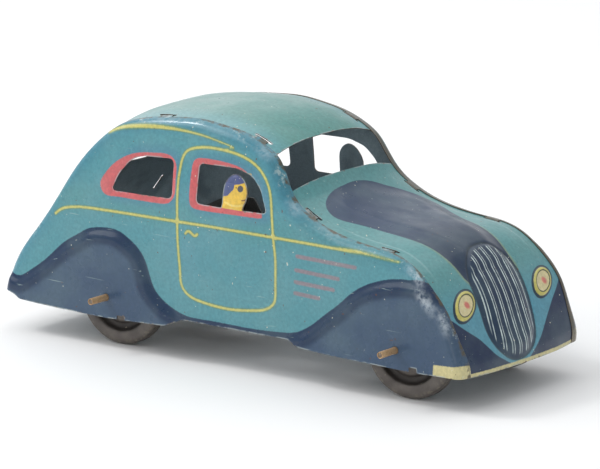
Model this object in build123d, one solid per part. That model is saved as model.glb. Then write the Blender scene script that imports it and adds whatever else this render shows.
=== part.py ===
"""Friction tin car: a pressed tinplate saloon with a friction drive on its rear axle.

The frame is +X forwards, +Y to the car's left and +Z up, in millimetres. The origin is
on the ground under the middle of the car.
"""

import math
import os

from build123d import *

# ---- driving dimensions -------------------------------------------------------------
TIN = 0.4                    # tinplate with its print and varnish
CORNER_RADIUS = 4.5          # roll of each side panel's edge into the roof and bonnet
CROWN = 0.035                # rise of the roof and bonnet at the middle, per unit of height
REAR_BULGE = 1.0             # how far the middle of the tail stands behind its seams
FRONT_BULGE = 2.3            # how far the grille stands ahead of its seams
SEAM_HALF_WIDTH = 42.0       # half width at which the crown starts
SEAM_REACH = 138.0           # distance of the seams' ends from the middle of the car
CUT_LEVEL = -12.0            # level below the ground to which tool shapes are drawn

WHEEL_RADIUS = 25.0
WHEEL_INNER = 31.0           # |y| of a wheel's inner face
WHEEL_OUTER = 40.0           # |y| of a wheel's outer face
FRONT_AXLE_X = 100.0
REAR_AXLE_X = -71.0
AXLE_RADIUS = 1.1
SLEEVE_RADIUS = 1.6
JOURNAL_RADIUS = 1.85        # stouter inner part of a sleeve, which turns in the side panel
JOURNAL_END = 47.3           # |y| of the shoulder between a sleeve's two parts
SLEEVE_FIT = 0.05            # radial clearance of a sleeve in the side panel
AXLE_END = 60.6              # |y| of the ends of the axles

TAB_LENGTH = 8.0
TAB_REACH = 3.0              # how far a tab reaches over the roof or bonnet panel
TAB_GAP = 0.25

MODULE = 0.8
GEAR_TEETH = 40
PINION_TEETH = 10
GEAR_WIDTH = 3.0
PINION_WIDTH = 3.4
BACKLASH = 0.14
PRESSURE_ANGLE = math.radians(20)
GEAR_ADDENDUM = 0.6          # in modules, short enough to clear the pinion's roots
PINION_ADDENDUM = 1.0
ROOT_CLEARANCE = 0.25
FLYWHEEL_RADIUS = 16.0
FLYWHEEL_WIDTH = 9.0
PLATE_Y = 14.0               # |y| of the outer faces of the mechanism's plates
PLATE = 0.8
ARBOR_RADIUS = 1.0
ARBOR_FIT = 0.04
LAYER_A = -9.0               # y where the drive gear and the step-up pinion start
LAYER_B = -4.0               # y where the step-up gear and the flywheel pinion start
LAYER_C = 1.5                # y where the flywheel starts
STEP_UP_ANGLES = (math.radians(32), math.radians(14))   # directions of the two gear steps
PILLARS = [(-80.0, 43.5), (-37.0, 63.5), (-41.0, 20.0)]
PILLAR_RADIUS = 1.6
STRAP_LEVEL = 20.4           # z of the undersides of the straps
STRAP_LENGTH = 12.0
STRAP_EAR = 7.0
STRAP_GAP = 0.1              # solder between a strap's ear and the side panel
FRONT_STRAP_X = 60.0
REAR_STRAP_X = -23.0
PLATE_TAB = (6.0, 1.8)       # length and height of the tabs under the drive plates
PLATE_OUTLINE = [
    (-80, 16), (-34, 16), (-31, STRAP_LEVEL + PLATE), (-16, STRAP_LEVEL + PLATE), (-17, 50),
    (-30, 68), (-44, 68), (-86, 48), (-86, 36),
]
NOTCHES = [(-62.0, 17.2), (110.0, 18.4)]   # notches in the fenders' lower edges: x and top
NOTCH_LENGTH = 4.4

# Side view of the seam between a side panel and the roof or bonnet, from the tail
# over the roof to the grille: (x, z).
PROFILE = [
    (-138.0, CUT_LEVEL), (-139.0, 20), (-132, 37.6), (-118.9, 54), (-106.2, 71), (-93.1, 88.8),
    (-80.4, 100.6), (-68.2, 108.3), (-52.6, 112.8), (-31.5, 115.2), (-19.7, 115.6),
    (-6.6, 114.2), (4.2, 112.3), (16.9, 107.6), (24.9, 102), (29.9, 94.4), (35.5, 86.2),
    (43.5, 80.2), (56.4, 74.6), (73.8, 70.8), (84.1, 69.6), (93.5, 67.8), (104.8, 63.4),
    (116.1, 55), (124.6, 45.6), (131, 34.8), (135.9, 26.3), (137.4, 20), (136.6, CUT_LEVEL),
]
# Half of the cross-section: (|y|, z) of the side face, which leans in above the belt.
SIDE = [(47, CUT_LEVEL), (47, 30), (46.9, 66), (46.3, 80), (44.2, 94), (42.1, 111), (40.4, 125)]
# Lower edge of the side panels: (x, z).
SILL = [
    (-139, 20), (-129.5, 18), (-126, 16.2), (-100, 15.2), (-71, 15), (-50, 15.6), (-36, 16.2),
    (-26, 20.2), (37, 20.2), (43, 17.8), (60, 17), (100, 16.4), (138, 16.4),
]
REAR_WINDOW_SIDE = [(-69.5, 77), (-65, 86), (-59, 92.6), (-52, 95.5), (-33, 96.4), (-32.5, 77.6)]
FRONT_WINDOW_SIDE = [(-17.8, 77.4), (-17.4, 96.3), (5, 96.6), (14, 94), (19.5, 88.4), (24, 77.8)]
DRIVER_HEAD = [
    (-2.4, 74), (-2.4, 84), (-1.6, 89), (1, 92.6), (4.5, 94), (8.3, 92.6), (10.6, 90),
    (12.1, 86), (11.6, 82), (9.8, 77), (9.8, 74),
]
# Where the tabs of the side panels are, as fractions of the length of PROFILE.
TAB_PLACES = [0.105, 0.195, 0.30, 0.405, 0.54, 0.647, 0.757, 0.841]
PROFILE_STEPS = 40
WINDSCREEN = (25.0, 34.0)    # x of the roof's front edge and of the bonnet's rear edge
REAR_WINDOW = (22.0, 77.0, 92.0)   # half width, bottom and top of the rear window


def axis_prism(face, y_from, y_to):
    """A prism along Y between two planes, from a face drawn in the first."""
    return extrude(face, amount=abs(y_to - y_from), dir=(0, math.copysign(1, y_to - y_from), 0))


def straight_prism(points, y_from, y_to):
    """A prism along Y whose outline is straight between (x, z) points."""
    outline = Polyline(*[(x, y_from, z) for x, z in points], close=True)
    return axis_prism(make_face(outline), y_from, y_to)


def smooth_prism(points, y_from, y_to):
    """A prism along Y whose outline is one smooth curve through (x, z) points and a straight base."""
    curve = Spline(*[(x, y_from, z) for x, z in points])
    return axis_prism(make_face([curve, Line(curve @ 1, curve @ 0)]), y_from, y_to)


def cylinder_y(radius, y_from, y_to, x, z):
    """A cylinder along Y."""
    plane = Plane((x, min(y_from, y_to), z), x_dir=(1, 0, 0), z_dir=(0, 1, 0))
    return extrude(plane * Circle(radius), amount=abs(y_to - y_from))


def revolve_y(points, x, z):
    """A solid of revolution about an axle along Y, from (radius, y) points."""
    outline = Polyline(*[(x + radius, y, z) for radius, y in points], close=True)
    return revolve(make_face(outline), Axis((x, 0, z), (0, 1, 0)))


# ---- body ---------------------------------------------------------------------------
def profile_wire(inset, y):
    """Closed side view at y, moved inwards by inset and bulging towards the car's middle."""
    curve = Spline(*[(x, 0, z) for x, z in PROFILE])
    bulge = 1 - (y / SEAM_HALF_WIDTH) ** 2
    points = []
    for step in range(PROFILE_STEPS + 1):
        place = curve @ (step / PROFILE_STEPS)
        along = curve % (step / PROFILE_STEPS)
        x = place.X + along.Z * inset
        z = place.Z - along.X * inset
        swell = FRONT_BULGE if x > 0 else REAR_BULGE
        points.append((x + bulge * swell * x / SEAM_REACH, y, z * (1 + CROWN * bulge)))
    return Wire([Spline(*points), Line(points[-1], points[0])])


def section_prism(shift):
    """The body's cross-section run along the whole car, with its sides moved in by shift."""
    start = -160
    right = Spline(*[(start, shift - y, z) for y, z in SIDE])
    left = Spline(*[(start, y - shift, z) for y, z in SIDE])
    face = make_face([right, left, Line(right @ 1, left @ 1), Line(left @ 0, right @ 0)])
    return extrude(face, amount=-2 * start, dir=(1, 0, 0))


def body_solid(inset):
    """Everything inside the body's skin, with the skin moved inwards by inset."""
    crowned = Solid.make_loft([profile_wire(inset, y) for y in (-54, 0, 54)])
    body = crowned & section_prism(inset)
    rims = [edge for edge in body.edges() if edge.length > 300]
    return fillet(rims, CORNER_RADIUS - inset)


def seam_half_width(z):
    """Half the width of the roof or bonnet panel at a height."""
    for (low_y, low_z), (high_y, high_z) in zip(SIDE, SIDE[1:]):
        if z <= high_z:
            return low_y + (high_y - low_y) * (z - low_z) / (high_z - low_z) - CORNER_RADIUS
    raise ValueError("above the cross-section")


def tab_boxes(side, gap):
    """Boxes over the tabs that one side panel folds over the roof and bonnet panels."""
    curve = Spline(*[(x, 0, z) for x, z in PROFILE])
    boxes = []
    for fraction in TAB_PLACES:
        place = curve @ fraction
        along = curve % fraction
        overlap = 0.5
        seam = seam_half_width(place.Z)
        middle = side * (seam + (overlap - TAB_REACH - gap) / 2)
        plane = Plane((place.X, middle, place.Z), x_dir=along, z_dir=(-along.Z, 0, along.X))
        boxes.append(plane * Box(TAB_LENGTH + 2 * gap, TAB_REACH + overlap + gap, 8))
    return boxes


def side_openings(side):
    """Prisms through a side panel's windows, leaving the driver's head standing in one."""
    window = straight_prism(FRONT_WINDOW_SIDE, side * 35, side * 55)
    window = fillet(window.edges().filter_by(Axis.Y), 2.2)
    window -= smooth_prism(DRIVER_HEAD, side * 34, side * 56)
    rear = straight_prism(REAR_WINDOW_SIDE, side * 35, side * 55)
    rear = fillet(rear.edges().filter_by(Axis.Y), 2.0)
    return [window, rear]


def side_region(side, gap):
    """The space outside one seam, with the places of the panel's tabs added to it."""
    region = Pos(0, side * 50, 60) * Box(320, 100, 160) - section_prism(CORNER_RADIUS)
    for box in tab_boxes(side, gap):
        region += box
    return region


def make_body():
    """The four pressings of the body: two side panels, the roof and the bonnet."""
    below = [(-160, 20), *SILL, (160, SILL[-1][1]), (160, -40), (-160, -40)]
    shell = body_solid(0) - body_solid(TIN) - straight_prism(below, -60, 60)
    strip = shell
    parts = {}
    for side, name in ((-1, "right"), (1, "left")):
        panel = shell & side_region(side, 0)
        strip -= side_region(side, TAB_GAP)
        for opening in side_openings(side):
            panel -= opening
        for axle_x in (FRONT_AXLE_X, REAR_AXLE_X):
            radius = JOURNAL_RADIUS + SLEEVE_FIT
            panel -= cylinder_y(radius, side * 40, side * 55, axle_x, WHEEL_RADIUS)
        for x, top in NOTCHES:
            panel -= Pos(x, side * 46, top - 5) * Box(NOTCH_LENGTH, 10, 10)
        parts[f"side_panel_{name}"] = panel
    half_width, low, high = REAR_WINDOW
    rear_window = Pos(-110, 0, (low + high) / 2) * Box(60, 2 * half_width, high - low)
    rear_window = fillet(rear_window.edges().filter_by(Axis.X), 4)
    cabin_edge, cowl_edge = WINDSCREEN
    parts["roof_panel"] = (strip - rear_window) & Pos(cabin_edge - 100, 0, 60) * Box(200, 120, 160)
    parts["bonnet_panel"] = strip & Pos(cowl_edge + 100, 0, 60) * Box(200, 120, 160)
    return parts


def make_straps():
    """Tinplate straps across the sills, with their ends bent up and soldered to the sides."""
    parts = {}
    reach = SIDE[0][0] - TIN - STRAP_GAP
    for name, x in (("front_cross_strap", FRONT_STRAP_X), ("rear_cross_strap", REAR_STRAP_X)):
        low = STRAP_LEVEL
        strap = Pos(x, 0, low + STRAP_EAR / 2) * Box(STRAP_LENGTH, 2 * reach, STRAP_EAR)
        strap -= Pos(x, 0, low + PLATE + STRAP_EAR / 2) * Box(
            STRAP_LENGTH + 1, 2 * (reach - PLATE), STRAP_EAR)
        parts[name] = strap
    for side in (-1, 1):
        parts["rear_cross_strap"] -= plate_tab(side)
    return parts


def plate_tab(side):
    """The tab that one drive plate puts through the rear strap."""
    tab = Pos(REAR_STRAP_X, side * (PLATE_Y - PLATE / 2), STRAP_LEVEL + PLATE - PLATE_TAB[1] / 2)
    return tab * Box(PLATE_TAB[0], PLATE, PLATE_TAB[1])


# ---- wheels and axles ---------------------------------------------------------------
def wheel_half(side, outward, x):
    """One pressed half of a wheel; outward is True for the half with the printed disc."""
    middle = (WHEEL_INNER + WHEEL_OUTER) / 2
    radius = WHEEL_RADIUS
    if outward:
        face = WHEEL_OUTER
        skin = [
            (radius, middle), (radius, face - 3), (radius - 0.9, face - 1), (radius - 2.8, face),
            (18.6, face - 0.2), (17.2, face - 2.6), (14.4, face - 2.6), (13, face - 0.6),
            (AXLE_RADIUS, face - 0.6),
        ]
        inward = -TIN
    else:
        face = WHEEL_INNER
        skin = [
            (radius, middle), (radius, face + 3), (radius - 0.9, face + 1), (radius - 2.8, face),
            (12, face), (10, face + 1.2), (AXLE_RADIUS, face + 1.2),
        ]
        inward = TIN
    back = [
        (radius - TIN, middle), (radius - TIN, skin[1][1]), (radius - 0.9 - TIN, skin[2][1] + inward / 2),
        (radius - 2.8 - TIN / 2, skin[3][1] + inward),
    ]
    back += [(r - TIN / 3 if r in (18.6, 17.2) else r, y + inward) for r, y in skin[4:]]
    outline = skin + back[::-1]
    return revolve_y([(r, side * y) for r, y in outline], x, WHEEL_RADIUS)


def make_running_gear():
    """Axles, the sleeves on their ends and the wheels."""
    parts = {}
    for end, x in (("front", FRONT_AXLE_X), ("rear", REAR_AXLE_X)):
        parts[f"{end}_axle"] = cylinder_y(AXLE_RADIUS, -AXLE_END, AXLE_END, x, WHEEL_RADIUS)
        for side, name in ((-1, "right"), (1, "left")):
            outline = [
                (AXLE_RADIUS, WHEEL_OUTER - 0.6), (JOURNAL_RADIUS, WHEEL_OUTER - 0.6),
                (JOURNAL_RADIUS, JOURNAL_END), (SLEEVE_RADIUS, JOURNAL_END),
                (SLEEVE_RADIUS, AXLE_END), (AXLE_RADIUS, AXLE_END),
            ]
            parts[f"{end}_sleeve_{name}"] = revolve_y([(r, side * y) for r, y in outline],
                                                      x, WHEEL_RADIUS)
            parts[f"{end}_wheel_{name}_outer"] = wheel_half(side, True, x)
            parts[f"{end}_wheel_{name}_inner"] = wheel_half(side, False, x)
    return parts


# ---- friction drive -----------------------------------------------------------------
def involute(angle):
    """The involute function of an angle in radians."""
    return math.tan(angle) - angle


def gear_blank(teeth, addendum, mate_addendum, phase, x, z):
    """Outline points of an involute gear, with a tooth's middle at the phase angle."""
    pitch = MODULE * teeth / 2
    base = pitch * math.cos(PRESSURE_ANGLE)
    tip = pitch + addendum * MODULE
    root = pitch - (mate_addendum + ROOT_CLEARANCE) * MODULE
    half_tooth = (math.pi * MODULE / 2 - BACKLASH) / 2 / pitch
    flank = []
    for step in range(5):
        radius = max(root, base) + (tip - max(root, base)) * step / 4
        turn = half_tooth + involute(PRESSURE_ANGLE) - involute(math.acos(min(1, base / radius)))
        flank.append((radius, turn))
    if root < base:
        flank.insert(0, (root, flank[0][1]))
    points = []
    for tooth in range(teeth):
        middle = phase + tooth * 2 * math.pi / teeth
        for radius, turn in flank:
            points.append((x + radius * math.cos(middle - turn), z + radius * math.sin(middle - turn)))
        for radius, turn in reversed(flank):
            points.append((x + radius * math.cos(middle + turn), z + radius * math.sin(middle + turn)))
    return points


def make_gear(teeth, phase, place, y_from, y_to, bore):
    """A spur gear about an arbor along Y."""
    own, mate = PINION_ADDENDUM, GEAR_ADDENDUM
    if teeth == GEAR_TEETH:
        own, mate = mate, own
    gear = straight_prism(gear_blank(teeth, own, mate, phase, *place), y_from, y_to)
    return gear - cylinder_y(bore, y_from - 1, y_to + 1, *place)


def make_drive():
    """The friction drive: rear axle gear, step-up arbor and flywheel between two plates."""
    drive_place = (REAR_AXLE_X, WHEEL_RADIUS)
    spacing = MODULE * (GEAR_TEETH + PINION_TEETH) / 2
    first, second = STEP_UP_ANGLES
    step_place = (drive_place[0] + spacing * math.cos(first), drive_place[1] + spacing * math.sin(first))
    fly_place = (step_place[0] + spacing * math.cos(second), step_place[1] + spacing * math.sin(second))
    half_pitch = math.pi / PINION_TEETH
    inner = PLATE_Y - PLATE
    parts = {}
    parts["drive_gear"] = make_gear(
        GEAR_TEETH, first, drive_place, LAYER_A, LAYER_A + GEAR_WIDTH, AXLE_RADIUS)
    parts["step_up_pinion"] = make_gear(
        PINION_TEETH, first + math.pi + half_pitch, step_place, LAYER_A - 0.2,
        LAYER_A - 0.2 + PINION_WIDTH, ARBOR_RADIUS)
    parts["step_up_gear"] = make_gear(
        GEAR_TEETH, second, step_place, LAYER_B, LAYER_B + GEAR_WIDTH, ARBOR_RADIUS)
    parts["flywheel_pinion"] = make_gear(
        PINION_TEETH, second + math.pi + half_pitch, fly_place, LAYER_B - 0.2,
        LAYER_B - 0.2 + PINION_WIDTH, ARBOR_RADIUS)
    rim = FLYWHEEL_WIDTH / 2
    middle = LAYER_C + rim
    parts["flywheel"] = revolve_y([
        (ARBOR_RADIUS, middle - rim), (4, middle - rim), (4, middle - rim + 2), (12, middle - rim + 2),
        (12, middle - rim), (FLYWHEEL_RADIUS, middle - rim), (FLYWHEEL_RADIUS, middle + rim),
        (12, middle + rim), (12, middle + rim - 2), (4, middle + rim - 2), (4, middle + rim),
        (ARBOR_RADIUS, middle + rim)], *fly_place)
    for name, place in (("step_up_arbor", step_place), ("flywheel_arbor", fly_place)):
        parts[name] = cylinder_y(ARBOR_RADIUS, -PLATE_Y - 1, PLATE_Y + 1, *place)
    pillars = []
    for x, z in PILLARS:
        pillars.append(cylinder_y(PILLAR_RADIUS, -inner, inner, x, z)
                       + cylinder_y(PILLAR_RADIUS / 2, -PLATE_Y - 0.6, PLATE_Y + 0.6, x, z))
    parts["plate_pillars"] = pillars
    for side, name in ((-1, "right"), (1, "left")):
        plate = straight_prism(PLATE_OUTLINE, side * inner, side * PLATE_Y)
        plate = fillet(plate.edges().filter_by(Axis.Y), 2) + plate_tab(side)
        plate -= cylinder_y(AXLE_RADIUS + ARBOR_FIT, -20, 20, *drive_place)
        plate -= cylinder_y(ARBOR_RADIUS + ARBOR_FIT, -20, 20, *step_place)
        plate -= cylinder_y(ARBOR_RADIUS + ARBOR_FIT, -20, 20, *fly_place)
        for x, z in PILLARS:
            plate -= cylinder_y(PILLAR_RADIUS / 2, -20, 20, x, z)
        parts[f"drive_plate_{name}"] = plate
    return parts


def write(name, shape):
    """Write one node, as one solid or as a group of separate solids."""
    solids = []
    for piece in shape if isinstance(shape, list) else [shape]:
        solids += piece.solids()
    whole = solids[0] if len(solids) == 1 else Compound(children=solids)
    export_step(whole, f"parts/{name}.step")


os.makedirs("parts", exist_ok=True)
for maker in (make_body, make_straps, make_running_gear, make_drive):
    for node, shape in maker().items():
        write(node, shape)
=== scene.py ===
"""Friction tin car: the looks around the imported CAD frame.

The four body pressings are drawn flat, filled with triangles and then placed on the body's
curved surfaces, with their embossing and their 0.4 mm of tinplate. What the printer put on
them is kept as distances from the printed outlines, in mm, and the printed tin material
turns those distances into crisp edges. The car is drawn in millimetres, and the lamps and the
camera stand in metres.
"""
import math

import bpy
import numpy as np
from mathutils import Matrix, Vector
from mathutils.geometry import delaunay_2d_cdt


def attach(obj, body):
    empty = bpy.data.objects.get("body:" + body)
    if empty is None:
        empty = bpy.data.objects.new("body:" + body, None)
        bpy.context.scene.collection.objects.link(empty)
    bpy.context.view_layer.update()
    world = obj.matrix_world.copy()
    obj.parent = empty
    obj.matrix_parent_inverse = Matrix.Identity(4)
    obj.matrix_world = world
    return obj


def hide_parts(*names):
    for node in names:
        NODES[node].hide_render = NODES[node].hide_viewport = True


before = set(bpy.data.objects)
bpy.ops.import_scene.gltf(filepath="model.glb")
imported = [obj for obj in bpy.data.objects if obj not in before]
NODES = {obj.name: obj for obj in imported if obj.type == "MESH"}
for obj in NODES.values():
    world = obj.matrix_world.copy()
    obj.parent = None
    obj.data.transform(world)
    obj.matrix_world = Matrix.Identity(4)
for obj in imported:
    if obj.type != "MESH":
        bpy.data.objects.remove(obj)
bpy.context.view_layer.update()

MM = 0.001
TIN = 0.4

# ---- the body's outlines ------------------------------------------------------------
# Side view of the seam between a side panel and the top strip, from the tail over the roof
# to the grille: (x, z).
SEAM = [
    (-136.2, -12), (-137.2, 20), (-129.6, 37.6), (-116.3, 54), (-103.4, 71), (-90.6, 88.8),
    (-79.0, 100.6), (-67.8, 108.3), (-52.6, 112.8), (-31.5, 115.2), (-19.7, 115.6),
    (-6.6, 114.2), (4.2, 112.3), (16.9, 107.6), (24.9, 102), (29.9, 94.4), (35.5, 86.2),
    (43.5, 80.2), (56.4, 74.6), (73.8, 70.8), (84.1, 69.6), (94.7, 68.4), (106.4, 64.2),
    (117.4, 55.5), (125.8, 45.9), (131, 35), (134.7, 26.2), (136.4, 20.7), (136.2, 15.5),
    (135.0, 4),
]
# Along the seam: (length, half width of the strip, rise of its middle).
STRIP = [
    (0, 40.0, 1.0), (32, 40.5, 1.0), (60, 42, 1.5), (100, 42.2, 3.0), (130, 40.5, 3.8),
    (160, 38.2, 4.2), (200, 37.4, 4.3), (244, 37.6, 4.2), (262, 40.1, 3.6), (285, 41.8, 2.8),
    (330, 43.6, 2.2), (350, 44.8, 1.4), (364, 45.0, 1.2), (376, 44.1, 1.8), (396, 41.2, 3.0),
    (420, 39.5, 3.0),
]
# Half of the body's cross-section: (z, |y|).
SECTION = [(-12, 47), (30, 47), (66, 46.9), (80, 46.3), (94, 44.2), (111, 42.1), (125, 40.4)]
SILL = [
    (-129.5, 18), (-126, 16.2), (-100, 15.2), (-71, 15), (-64.3, 15.2), (-64.2, 17.2), (-59.9, 17.2),
    (-59.8, 15.3), (-50, 15.6), (-36, 16.2), (-26, 20.2), (0, 20.2), (37, 20.2), (43, 17.8), (60, 17),
    (100, 16.2), (107.8, 16.1), (107.9, 18.2), (112.1, 18.2), (112.2, 16.0),
]
AXLE_X = {"front": 100.0, "rear": -71.0}
AXLE_LEVEL = 25.0
AXLE_HOLE = 1.9              # radius of the holes that the axles' tubes turn in
TAIL_LEVEL = 20.0
NOSE_LEVEL = 16.0
ROLL = 4.5                   # depth of the rolled edge of a side panel, in side view
LAP = 0.8                    # how far the rolled edge lies over the strip
STEP_DOWN = 0.42             # how far the strip lies below the rolled edge
CABIN_EDGE_S = 237.4         # lengths along the seam where the windscreen opening starts and ends
COWL_EDGE_S = 256.1
REAR_WINDOW = (22.0, 77.0, 92.0)    # half width, bottom and top
TAB_LENGTHS = [43.6, 81.9, 126.6, 171.2, 228.0, 274.1, 320.9]
TAB_HALF = 4.0
TAB_REACH = 3.2
TAB_DIP = 0.5                # how far a tab's end goes down into its slot
TUCK = 1.1                   # how far the strip runs in under the rolled edges
TURN_ROWS = 9                # rows of points round the rolled edge
SIDE_PITCH = 1.5             # spacing of the points that fill a side panel
STRIP_PITCH = 1.7
SHARP_ANGLE = 38             # degrees

REAR_WINDOW_SIDE = [(-69.5, 77), (-65, 86), (-59, 92.6), (-52, 95.5), (-33, 96.4), (-32.5, 77.6)]
FRONT_WINDOW_SIDE = [
    (9.7, 77.6), (24, 77.9), (19.5, 88.4), (14, 94), (5, 96.6), (-17.4, 96.3), (-17.8, 77.4), (-2.6, 77.3),
]
NECK = [(-2.9, 77.6), (-2.5, 79.5)]
DRIVER_HEAD = [
    (-2.4, 84), (-1.6, 89), (1, 92.6), (4.5, 94), (8.3, 92.6), (10.6, 90), (12.1, 86), (11.6, 82),
]
THROAT = [(10.4, 79.6), (10.0, 77.9)]

# ---- the print on the side panels: (x, z) -------------------------------------------
BELT_LINE = [
    (-103.4, 61.4), (-99.8, 64.0), (-95.2, 65.5), (-86, 66.7), (-76.5, 67), (-55, 67.2),
    (-28.6, 67.4), (0, 67.6), (28, 67.5), (60, 67.3), (80, 66.7), (100, 64.8),
]
DOOR_LINE = [
    (-28.6, 67.3), (-29, 82.3), (-28.2, 94.4), (-25.8, 100.5), (-20.4, 103.1), (-12.5, 104.3),
    (-3.7, 104.2), (5.8, 103), (14.1, 100.3), (19.9, 96.3), (24.5, 90.2), (26.8, 82.5),
    (28.5, 67.1), (29.7, 56.8), (29.8, 42.5), (28.9, 36.2), (25.4, 33.3), (16.5, 31),
    (7.7, 29.9), (-7.3, 29.9), (-16.3, 31.1), (-22.3, 33.1), (-25.9, 36.9), (-27, 44), (-28.1, 56),
]
ROOF_LINE = [
    (-73.4, 103.2), (-66.5, 106.2), (-60.4, 107.8), (-49.4, 109.5), (-36.1, 110.3), (-21.1, 109.9),
    (-9.2, 108.4), (2.0, 106.1),
]
HANDLE_LINE = [(-23.6, 62.3), (-21.8, 63.7), (-19.8, 62.9), (-18.0, 61.9), (-16.4, 62.9)]
# Where the belt, door, roof and handle lines start to get thinner, and over what length of x.
LINE_FADES = [(62, 34), (200, 1), (-45, 60), (200, 1)]
LINE_THINNING = 0.42
LOUVRES = [
    ((42.3, 60.5), (76.0, 59.9)), ((41.6, 53.9), (66.5, 53.2)),
    ((41.3, 48.2), (63.6, 47.6)), ((41.0, 42.9), (55.0, 42.4)),
]
REAR_FRAME = [
    (-76, 79.6), (-74.1, 83.8), (-67.3, 90.9), (-59.2, 95.3), (-51.8, 97.2), (-42.7, 98.1),
    (-34.9, 97.6), (-31.3, 94.4), (-30.7, 86.9), (-31.0, 79.1), (-33.5, 75.9), (-40, 74.6),
    (-52.2, 74.5), (-67.5, 74.4), (-73.6, 75.2),
]
FRONT_FRAME = [
    (-22, 79), (-21.8, 90), (-21.4, 96), (-19.4, 98.6), (-14, 99.1), (-4, 98.9), (4, 98.0),
    (10, 96.2), (13, 93.0), (14, 84), (20.5, 78.6), (22.8, 76.4), (21, 75.3), (6, 75.0), (-12, 74.6),
    (-18.6, 74.7), (-21.3, 76),
]
REAR_FENDER = [
    (-145, 28.4), (-131.3, 27.9), (-127.5, 27.4), (-122.3, 29.7), (-114.6, 34.7), (-106.9, 40.7),
    (-98.6, 47.8), (-89.1, 53.5), (-82.9, 56.8), (-76.6, 58.2), (-69.2, 58.7), (-63, 57.6),
    (-56.9, 54.5), (-51.5, 50.4), (-47.9, 45.1), (-45.5, 39.1), (-43.1, 33.6), (-38.9, 29.3),
    (-32.9, 25.8), (-26, 23.2), (-10, 22.3), (10, 22.2), (34.5, 23.2), (41, 24.2), (46.2, 26.4),
]
FRONT_FENDER = [
    (52, 30.1), (57.9, 34.8), (66.5, 41.3), (72.2, 46.3), (79.1, 51.1),
    (86.5, 54.5), (95, 57.1), (103.4, 58.3), (111.9, 58.3), (118.5, 57.4), (127, 56), (150, 54),
]
FENDER_CLOSE = [(150, -20), (-145, -20)]
CREAM_MARK = [(121.2, 15.5), (121.4, 21.4), (138.5, 22.2), (138.5, 15.0)]
CAP = [
    (-4, 82), (-4, 90), (0, 95.5), (6, 95.5), (10.6, 92.6), (9.3, 90.2), (6.6, 89.4), (4.4, 89.0),
    (3.9, 86.6), (2.7, 85.6), (1.0, 83.6), (-0.6, 83.2),
]
EYE = (7.9, 87.5)
MOUTH = [(9.4, 82.3), (11.8, 82.7)]
COLLAR = [(-0.4, 80.4), (3.0, 79.4), (8.0, 79.6), (10.5, 80.2)]
HEAD_BOX = [(-3.6, 77.4), (-3.6, 95.2), (13.4, 95.2), (13.4, 77.4)]

# ---- the print on the bonnet: (length along the seam, y) ----------------------------
HOOD = [
    (263.4, 0), (263.9, 6), (265.2, 15.0), (267.7, 22), (271.2, 27), (275, 29.6), (279.3, 30.6),
    (285.8, 29.0), (292, 26.0), (301, 23.6), (312, 22.8), (325, 23.2), (336, 22.4), (346, 21.0),
    (354, 19.6), (358, 10),
]
# The same on the left, where the print runs wider and nearly reaches the seam.
HOOD_LEFT = [
    (263.4, 0), (264, 7), (266.5, 14), (270.5, 20), (275, 27), (282, 34), (291, 36), (301, 32.6),
    (312, 27.2), (326, 22.4), (334, 21), (341, 20), (348, 19.4), (354, 18.8), (358, 10),
]
GRILLE = [
    (338.6, 0), (339.0, 5), (341.0, 9.8), (345.0, 14.6), (349.5, 17.2), (355, 18.6), (363, 18.9),
    (372.6, 18.5), (381, 17.2), (388, 13.4), (392, 7.6), (393.4, 3), (393.6, 0),
]
SURROUND = [
    (330, -50), (366, -46), (373.1, -38.4), (380.3, -29.4), (389.6, -22.0), (395.2, -10.6),
    (396.6, -4.6), (396.6, -0.5), (394.2, 3.6), (387.4, 14.6), (373.5, 32.8), (369.2, 39.2),
    (364, 46), (330, 50),
]
# How far the grille's middle is off the car's: the strip's print runs slightly askew.
ASKEW = [(338, 1.6), (350, 1.0), (362, -1.6), (375, -3.7), (388, -4.7), (400, -3.8)]
BUMPER_FROM = 394.5
LAMP = (364.0, 30.9)
LAMP_RADIUS = 8.0
LAMP_LONG = (6.3, -5.8)      # two half diameters of a lamp's slanted ring, as (along, across)
LAMP_SHORT = (1.6, 6.1)
PUPIL_SHIFT = 1.3
BAR_PITCH = 5.1

# ---- embossing: (height, width over which it rises) ---------------------------------
FENDER_EMBOSS = (1.9, 5.0)
SILL_SHARE = 0.8             # how much of the fender's height is lost along the sill
WINDOW_EMBOSS = (0.5, 2.2)
LINE_EMBOSS = (0.16, 1.1)
HOOD_EMBOSS = (2.4, 12.0)
GRILLE_EMBOSS = (1.7, 7.0)
GROOVE_EMBOSS = (0.5, 1.6)
LAMP_EMBOSS = (0.9, 2.2)
BULB_EMBOSS = (0.5, 1.5)     # the hollow inside a lamp's ring
RIB_EMBOSS = (0.25, 3.0)
BUMPER_EMBOSS = (0.35, 0.8)
BROAD_DENTS = 0.16
SMALL_DENTS = 0.05
# Where pale painted highlights lie on the rolled edges, in place of glare on the lacquer: (x, length
# limits that x is looked for between, half length, distance in from the seam, half width, strength).
PAINTED_HIGHLIGHTS = [
    (19, (190, 240), 8, 2.0, 2.6, 0.4), (39, (240, 300), 7, 2.0, 2.6, 0.45),
    (60, (280, 330), 12, 1.2, 1.6, 0.3), (110, (300, 385), 10, 2.0, 2.2, 0.95),
    (120, (300, 385), 12, 4.6, 3.6, 0.85), (128, (300, 385), 9, 2.6, 2.4, 0.8),
    (-40, (100, 190), 26, 1.8, 2.0, 0.4),
]


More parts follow.
